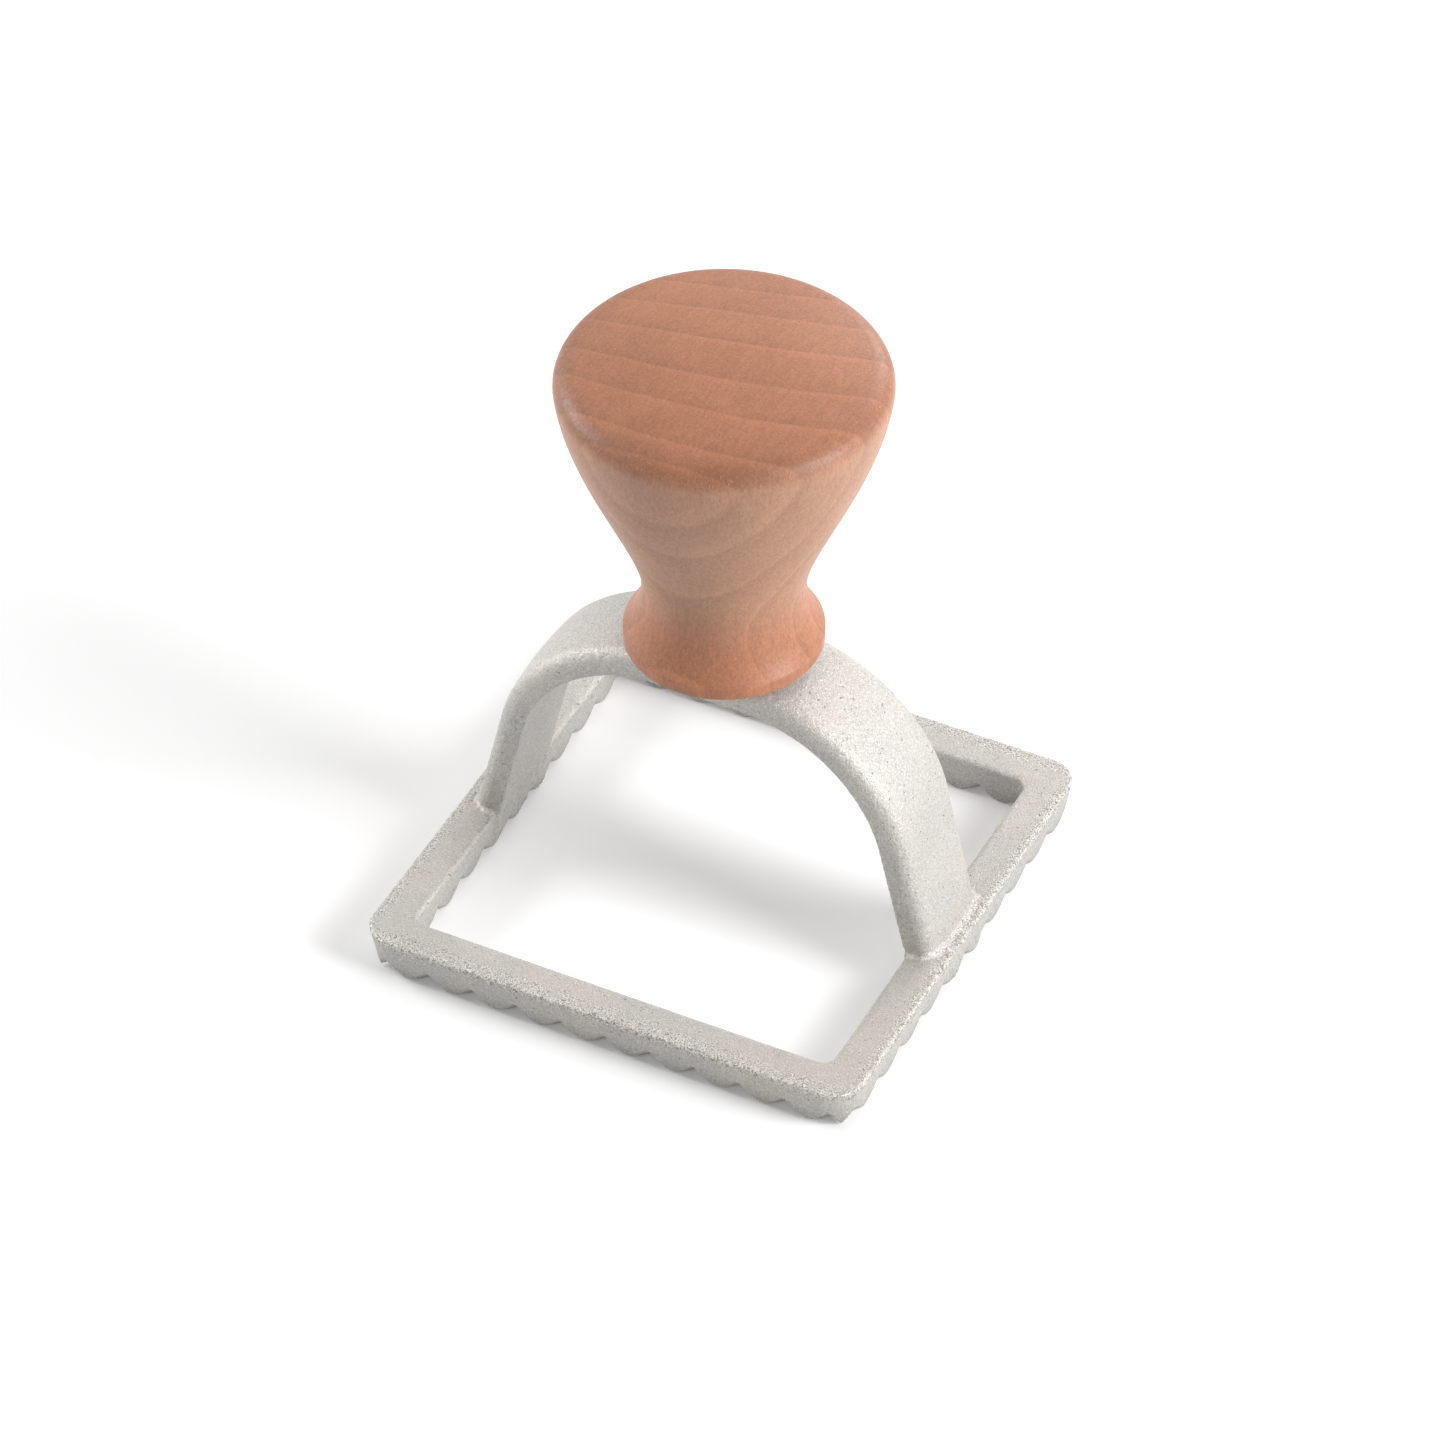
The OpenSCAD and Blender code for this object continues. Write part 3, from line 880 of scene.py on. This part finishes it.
def shader(name):
    """A new material with its Principled shader and the object's own coordinates."""
    material = bpy.data.materials.new(name)
    material.use_nodes = True
    tree = material.node_tree
    surface = tree.nodes["Principled BSDF"]
    place = tree.nodes.new("ShaderNodeTexCoord")
    return material, tree, surface, place.outputs["Object"]


def mixed(tree, amount, first, second):
    """One colour at 0 and the other at 1. Each is a colour or a socket."""
    node = tree.nodes.new("ShaderNodeMix")
    node.data_type = "RGBA"
    feed(node.inputs["Factor"], amount)
    for socket, value in ((node.inputs["A"], first), (node.inputs["B"], second)):
        if isinstance(value, bpy.types.NodeSocket):
            tree.links.new(value, socket)
        else:
            socket.default_value = (*value, 1)
    return node.outputs["Result"]


def toned(tree, tone, middle, spread):
    """A colour that is darker than its middle at tone 0 and as much paler at tone 1."""
    return mixed(tree, tone, middle * (1 - spread), middle * (1 + spread))


def bumped(tree, surface, relief):
    """Gives a shader the relief of a height in the stamp's millimetres."""
    node = tree.nodes.new("ShaderNodeBump")
    node.inputs["Distance"].default_value = 1
    feed(node.inputs["Height"], relief * MM)
    tree.links.new(node.outputs[0], surface.inputs["Normal"])


def cast_metal(finishes):
    """Sand-cast aluminium, tumbled: warm grey with grains, painted glints and pits, rougher along the top
    edge, with painted shade at the foot and a painted warm reflection on the bars' tops.
    """
    material, tree, surface, place = shader("cast_aluminium")
    kinds = noises(tree, place, METAL_NOISE)
    x, y, z = split(tree, place)
    band = (abs(x) - SPECKLE_NARROWER).most(abs(y)).between(*SPECKLE_START)
    band = band * z.between(*SPECKLE_BOTTOM) * (1 - z.between(*SPECKLE_TOP))
    band = band * kinds["coarse"].between(*SPECKLE_PATCHES)
    kinds["band"] = band
    kinds["speckle"] = kinds["fine"] * band
    # Painted highlights: small bright glints of light, more of them along the band
    kinds["painted_glint"] = (kinds["painted_glint_noise"] + band * PAINTED_GLINT_RAISE).between(*PAINTED_GLINT_LEVELS)
    kinds["pit"] = (kinds["pit"] + band * PIT_RAISE).between(*PIT_LEVELS)
    # Painted shade: the metal darkens towards the table
    kinds["low"] = 1 - z.between(0, PAINTED_SHADE_TOP)
    # Painted reflection: the bars' flat tops are painted warmer, as the wooden knob's reflection
    kinds["warm_top_reflection"] = z.between(*WARM_REFLECTION_BOTTOM) * (1 - z.between(*WARM_REFLECTION_TOP))
    tone = weighed(kinds, METAL_TONE, 0.5).within(0, 1)
    warmth = weighed(kinds, METAL_WARMTH, 0.5).within(0, 1)
    metal = Vector(finishes.metal)
    cool = toned(tree, tone, metal * COOL, METAL_SPREAD)
    warm = toned(tree, tone, metal * WARM, METAL_SPREAD)
    tree.links.new(mixed(tree, warmth, cool, warm), surface.inputs["Base Color"])
    surface.inputs["Metallic"].default_value = METAL_SHINE
    feed(surface.inputs["Roughness"], weighed(kinds, METAL_ROUGH, 0.5).within(*METAL_ROUGH_LIMITS))
    bumped(tree, surface, weighed(kinds, METAL_RELIEF))
    return material


def ring_place(tree, place, kinds):
    """How far front a place would lie on the knob's top along its own ring, in the stamp's millimetres."""
    x, y, z = split(tree, place)
    front = -y / MM
    side = x / (RING_HALF * MM)
    terms = {"plain": 1, "low": (z / MM - RING_TOP) / RING_DROP, "near": front / RING_HALF}
    lean = terms["low"] * weighed(terms, RING_LEAN)
    fan = side * weighed(terms, RING_FAN)
    curve = side * side * weighed(terms, RING_CURVE)
    return weighed(kinds, RING_UNEVENNESS, front + lean + fan + curve)


def ring_tone(tree, rings):
    """Tone of the wood across its growth rings, as a number from 0 to 1."""
    first = RING_ENDS[0] + RING_TONES[0][0]
    span = RING_ENDS[-1] + RING_TONES[-1][0] - first
    ramp = tree.nodes.new("ShaderNodeValToRGB")
    stops = ramp.color_ramp.elements
    tones = [((end + step - first) / span, tone) for end in RING_ENDS for step, tone in RING_TONES]
    while len(stops) < len(tones):
        stops.new(0.5)
    for stop, (at, tone) in zip(stops, tones):
        stop.position = at
        stop.color = (tone, tone, tone, 1)
    feed(ramp.inputs[0], (rings - first) / span)
    return Num(tree, ramp.outputs[0])


def wood(finishes):
    """Satin tan-brown hardwood: long grain up the side, darker end grain on top and foot, faint rings."""
    material, tree, surface, place = shader("turned_wood")
    kinds = noises(tree, place, WOOD_NOISE)
    height = split(tree, place)[2] / MM
    end_share = height.between(*TOP_GRAIN) + 1 - height.between(*FOOT_GRAIN)
    kinds["rim"] = 1 - abs(height - RIM_MIDDLE).between(*RIM_FADE)
    kinds["torn"] = kinds["torn"].between(*TORN_LEVELS) * kinds["rim"]
    kinds["rings"] = ring_tone(tree, ring_place(tree, place, kinds)) - 0.5
    kinds["end_rings"] = kinds["rings"] * end_share
    kinds["end_rays"] = kinds["rays"] * end_share
    tone = weighed(kinds, WOOD_TONE, 0.5).within(0, 1)
    long_grain = toned(tree, tone, Vector(finishes.wood_side), WOOD_SPREAD)
    end_grain = toned(tree, tone, Vector(finishes.wood_end), WOOD_SPREAD)
    tree.links.new(mixed(tree, end_share, long_grain, end_grain), surface.inputs["Base Color"])
    feed(surface.inputs["Roughness"], weighed(kinds, WOOD_ROUGH, 0.5).within(*WOOD_ROUGH_LIMITS))
    surface.inputs["Specular IOR Level"].default_value = WOOD_GLOSS
    surface.inputs["Coat Weight"].default_value = WOOD_COAT
    surface.inputs["Coat Roughness"].default_value = WOOD_COAT_ROUGHNESS
    bumped(tree, surface, weighed(kinds, WOOD_RELIEF))
    return material


def screw_steel(finishes):
    """Turned steel with fine rings round the screw."""
    material, tree, surface, place = shader("screw_steel")
    x, y, z = split(tree, place)
    kinds = noises(tree, place, STEEL_NOISE)
    kinds["marks"] = ((root_of_squares(x, y) + z) * LATHE_MARKS).math("SINE")
    tone = weighed(kinds, STEEL_TONE, 0.5).within(0, 1)
    steel = Vector(finishes.steel)
    painted = mixed(tree, tone, steel * STEEL_DARK, steel * STEEL_PALE)
    tree.links.new(painted, surface.inputs["Base Color"])
    surface.inputs["Metallic"].default_value = 1
    rough = weighed(kinds, STEEL_ROUGH, STEEL_ROUGH_MIDDLE).within(*STEEL_ROUGH_LIMITS)
    feed(surface.inputs["Roughness"], rough)
    bumped(tree, surface, weighed(kinds, STEEL_RELIEF))
    return material


def seen_ray(tree):
    """1 for what the camera, a reflection or glass sees, 0 for light on its way."""
    path = tree.nodes.new("ShaderNodeLightPath")
    straight = Num(tree, path.outputs["Is Camera Ray"])
    glossy = Num(tree, path.outputs["Is Glossy Ray"])
    clear = Num(tree, path.outputs["Is Transmission Ray"])
    return straight.most(glossy).most(clear)


def table_top(finishes):
    """White table: raised to white for the camera and reflections, with the object's shadow kept on it."""
    material, tree, surface, place = shader("table_top")
    tree.nodes.remove(surface)
    grain = noises(tree, place, TABLE_NOISE)["grain"]
    pale = Vector(finishes.floor)
    plain = tree.nodes.new("ShaderNodeBsdfDiffuse")
    tree.links.new(mixed(tree, 0.5 + grain, pale * TABLE_DARK, pale), plain.inputs["Color"])
    seen = tree.nodes.new("ShaderNodeBsdfDiffuse")
    seen.inputs["Color"].default_value = (SEEN_SHARE, SEEN_SHARE, SEEN_SHARE, 1)
    glow = tree.nodes.new("ShaderNodeEmission")
    glow.inputs["Strength"].default_value = SEEN_GLOW
    both = tree.nodes.new("ShaderNodeAddShader")
    tree.links.new(seen.outputs[0], both.inputs[0])
    tree.links.new(glow.outputs[0], both.inputs[1])
    pick = tree.nodes.new("ShaderNodeMixShader")
    feed(pick.inputs[0], seen_ray(tree))
    tree.links.new(plain.outputs[0], pick.inputs[1])
    tree.links.new(both.outputs[0], pick.inputs[2])
    tree.links.new(pick.outputs[0], tree.nodes["Material Output"].inputs[0])
    return material


def table(finishes):
    """A flat table that fills the view."""
    half = TABLE_REACH * SIDE
    corners = [(-half, -half, 0), (half, -half, 0), (half, half, 0), (-half, half, 0)]
    mesh = bpy.data.meshes.new("table")
    mesh.from_pydata(corners, [], [(0, 1, 2, 3)])
    mesh.materials.append(table_top(finishes))
    linked("table", mesh)


def sky(scene):
    """A white room: white where it is seen, and as light it comes from the left, the back and the front."""
    world = bpy.data.worlds.new("room")
    scene.world = world
    world.use_nodes = True
    tree = world.node_tree
    back = tree.nodes["Background"]
    back.inputs["Color"].default_value = (1, 1, 1, 1)
    way = tree.nodes.new("ShaderNodeTexCoord")
    x, y, _ = split(tree, way.outputs["Generated"])
    toward = {"left": (-x).most(0), "back": y.most(0), "front": (-y).most(0)}
    light = weighed(toward, SKY_SIDES, SKY_ROUND)
    seen = seen_ray(tree)
    feed(back.inputs["Strength"], seen + (1 - seen) * light)


def faced(holder, back):
    """Turns a lamp or a camera so that it looks against a direction, upright."""
    holder.rotation_mode = "QUATERNION"
    holder.rotation_quaternion = back.to_track_quat("Z", "Y")


def lamp(name, direction, distance, width, power):
    """A round soft lamp that faces the object."""
    light = bpy.data.lights.new(name, "AREA")
    light.shape = "DISK"
    light.size = width
    light.energy = power
    holder = linked(name, light)
    holder.location = AIM + direction * distance
    holder.visible_camera = False
    faced(holder, direction)


def camera(scene):
    """The photograph's camera: a long lens from the front right, high up."""
    view = bpy.data.cameras.new("camera")
    view.sensor_width = SENSOR
    view.lens = SENSOR * LENS_FOCAL / PICTURE
    view.shift_x, view.shift_y = CAMERA_SHIFT
    view.clip_start = CLIP_START
    view.clip_end = CLIP_END
    level = Vector((math.sin(CAMERA_AZIMUTH), -math.cos(CAMERA_AZIMUTH), 0))
    back = level * math.cos(CAMERA_ELEVATION) + Vector((0, 0, math.sin(CAMERA_ELEVATION)))
    right = Vector((math.cos(CAMERA_AZIMUTH), math.sin(CAMERA_AZIMUTH), 0))
    holder = linked("camera", view)
    holder.location = AIM + back * CAMERA_DISTANCE + right * CAMERA_ASIDE
    faced(holder, back)
    scene.camera = holder


class STAMP_OT_casting(bpy.types.Operator):
    """Casts the frame, its wavy edge and the arch in one piece"""

    bl_idname = "stamp.casting"
    bl_label = "Cast frame and arch"

    def execute(self, context):
        sizes = context.scene.stamp_casting
        tree = casting_tree(sizes, cast_metal(context.scene.stamp_finishes))
        mesh = thinned(grown_mesh("cast_frame", tree, sizes), TRIANGLES_MOST)
        piece = new_piece("cast_frame", mesh)
        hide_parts(CASTING)
        return {"FINISHED"}


class STAMP_OT_knob(bpy.types.Operator):
    """Turns the knob"""

    bl_idname = "stamp.knob"
    bl_label = "Turn knob"

    def execute(self, context):
        mesh = knob_mesh(context.scene.stamp_knob)
        mesh.materials.append(wood(context.scene.stamp_finishes))
        piece = new_piece("turned_knob", mesh)
        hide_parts(KNOB)
        return {"FINISHED"}


class STAMP_OT_screw(bpy.types.Operator):
    """Turns the wood screw and winds its thread"""

    bl_idname = "stamp.screw"
    bl_label = "Make screw"

    def execute(self, context):
        sizes = context.scene.stamp_screw
        tree = screw_tree(sizes, screw_steel(context.scene.stamp_finishes))
        piece = new_piece("wood_screw", grown_mesh("wood_screw", tree, sizes))
        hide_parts(SCREW)
        return {"FINISHED"}


class STAMP_OT_stage(bpy.types.Operator):
    """Sets the table, the lamps and the camera"""

    bl_idname = "stamp.stage"
    bl_label = "Set stage"

    def execute(self, context):
        table(context.scene.stamp_finishes)
        sky(context.scene)
        for name, direction, distance, width, power in LAMPS:
            lamp(name, Vector(direction).normalized(), distance * SIDE, width * SIDE, power)
        camera(context.scene)
        context.scene.view_settings.view_transform = "Standard"
        return {"FINISHED"}


class STAMP_PT_panel(bpy.types.Panel):
    """Steps that build the stamp"""

    bl_idname = "STAMP_PT_panel"
    bl_label = "Ravioli stamp"
    bl_space_type = "VIEW_3D"
    bl_region_type = "UI"
    bl_category = "Ravioli stamp"

    def draw(self, context):
        for operator in OPERATORS:
            self.layout.operator(operator.bl_idname)


GROUPS = {
    "stamp_casting": StampCastingSizes,
    "stamp_knob": StampKnobSizes,
    "stamp_screw": StampScrewSizes,
    "stamp_finishes": StampFinishes,
}
OPERATORS = (STAMP_OT_casting, STAMP_OT_knob, STAMP_OT_screw, STAMP_OT_stage)


def register():
    """Registers the sizes, the operators and the panel."""
    for group in (*GROUPS.values(), *OPERATORS, STAMP_PT_panel):
        bpy.utils.register_class(group)
    for name, group in GROUPS.items():
        setattr(bpy.types.Scene, name, PointerProperty(type=group))


def unregister():
    """Takes them all out again."""
    for name in GROUPS:
        delattr(bpy.types.Scene, name)
    for group in reversed((*GROUPS.values(), *OPERATORS, STAMP_PT_panel)):
        bpy.utils.unregister_class(group)


def main():
    """Builds everything."""
    register()
    bpy.ops.stamp.casting()
    bpy.ops.stamp.knob()
    bpy.ops.stamp.screw()
    bpy.ops.stamp.stage()


if __name__ == "__main__":
    main()
